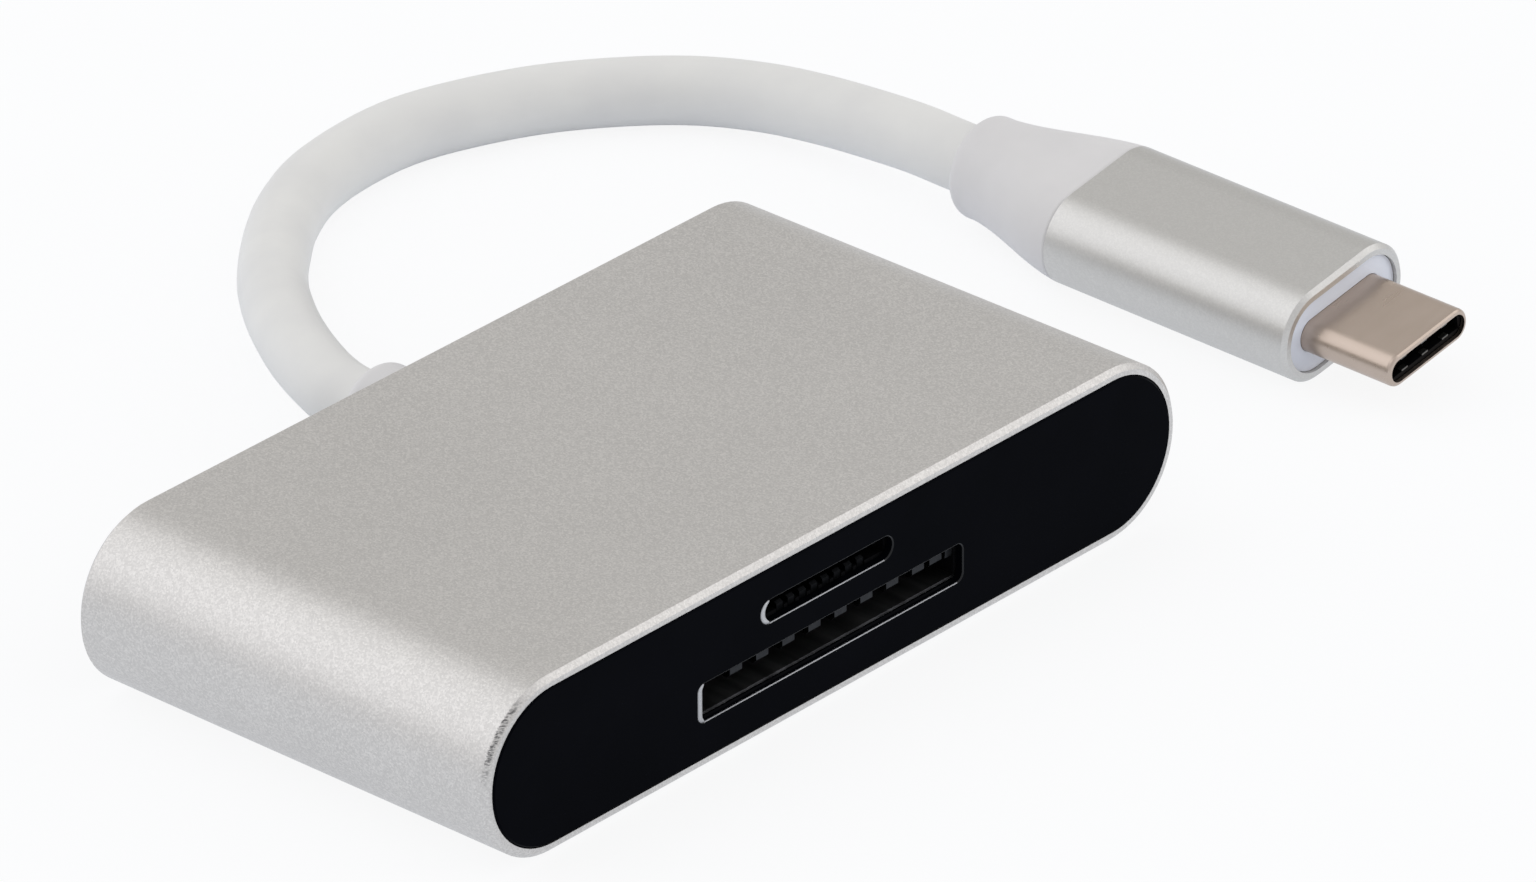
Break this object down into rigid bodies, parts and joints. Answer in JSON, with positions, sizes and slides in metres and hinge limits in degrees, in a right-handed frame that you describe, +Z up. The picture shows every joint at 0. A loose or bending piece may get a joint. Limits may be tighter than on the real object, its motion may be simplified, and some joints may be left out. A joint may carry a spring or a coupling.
{
  "type": "memory card reader",
  "caption": "Flat metal card reader with a large and a small card slot in its dark front panel and a short rear cable that ends in a small flat reversible plug.",
  "frame": {"origin": "bottom centre of the housing, on the surface that it rests on", "axes": "+X along the housing's width, to the right when the card slots face the viewer; +Y towards the rear panel and the cable's exit; +Z up"},
  "size_m": [0.0951, 0.0767, 0.0126],
  "materials": {
    "body_metal": "fine bead-blasted and anodised, silver",
    "panel_black": "gloss black",
    "cord_white": "smooth matte white jacket",
    "grip_white": "smooth matte white moulding",
    "insert_white": "cool white moulding",
    "socket_plastic": "black moulding",
    "stamped_steel": "plain stamped sheet",
    "spring_metal": "plated spring strip",
    "shell_nickel": "polished warm nickel",
    "board_green": "solder-masked glass laminate",
    "chip_black": "moulded package",
    "chip_tan": "fired ceramic",
    "can_metal": "plated can",
    "wire_jacket": "insulated wire"
  },
  "bodies": {
    "root": {"housing_shell": "body_metal", "front_panel": "panel_black", "rear_panel": "panel_black", "cable_grommet": "grip_white", "circuit_board": "board_green", "large_socket_base": "socket_plastic", "large_socket_cover": "stamped_steel", "large_socket_contacts": "spring_metal", "large_card_switches": "spring_metal", "small_socket_base": "socket_plastic", "small_socket_cover": "stamped_steel", "small_socket_contacts": "spring_metal", "controller_chip": "chip_black", "clock_crystal": "can_metal", "voltage_regulator": "chip_black", "chip_capacitors": "chip_tan", "chip_resistors": "chip_black", "lead_wires": "wire_jacket", "cable": "cord_white", "plug_strain_relief": "grip_white", "plug_sleeve": "body_metal", "plug_front_insert": "insert_white", "plug_shell": "shell_nickel", "plug_insulator": "socket_plastic", "plug_contacts": "spring_metal", "plug_ground_springs": "can_metal", "plug_latches": "spring_metal", "plug_board": "board_green"}
  },
  "joints": []
}
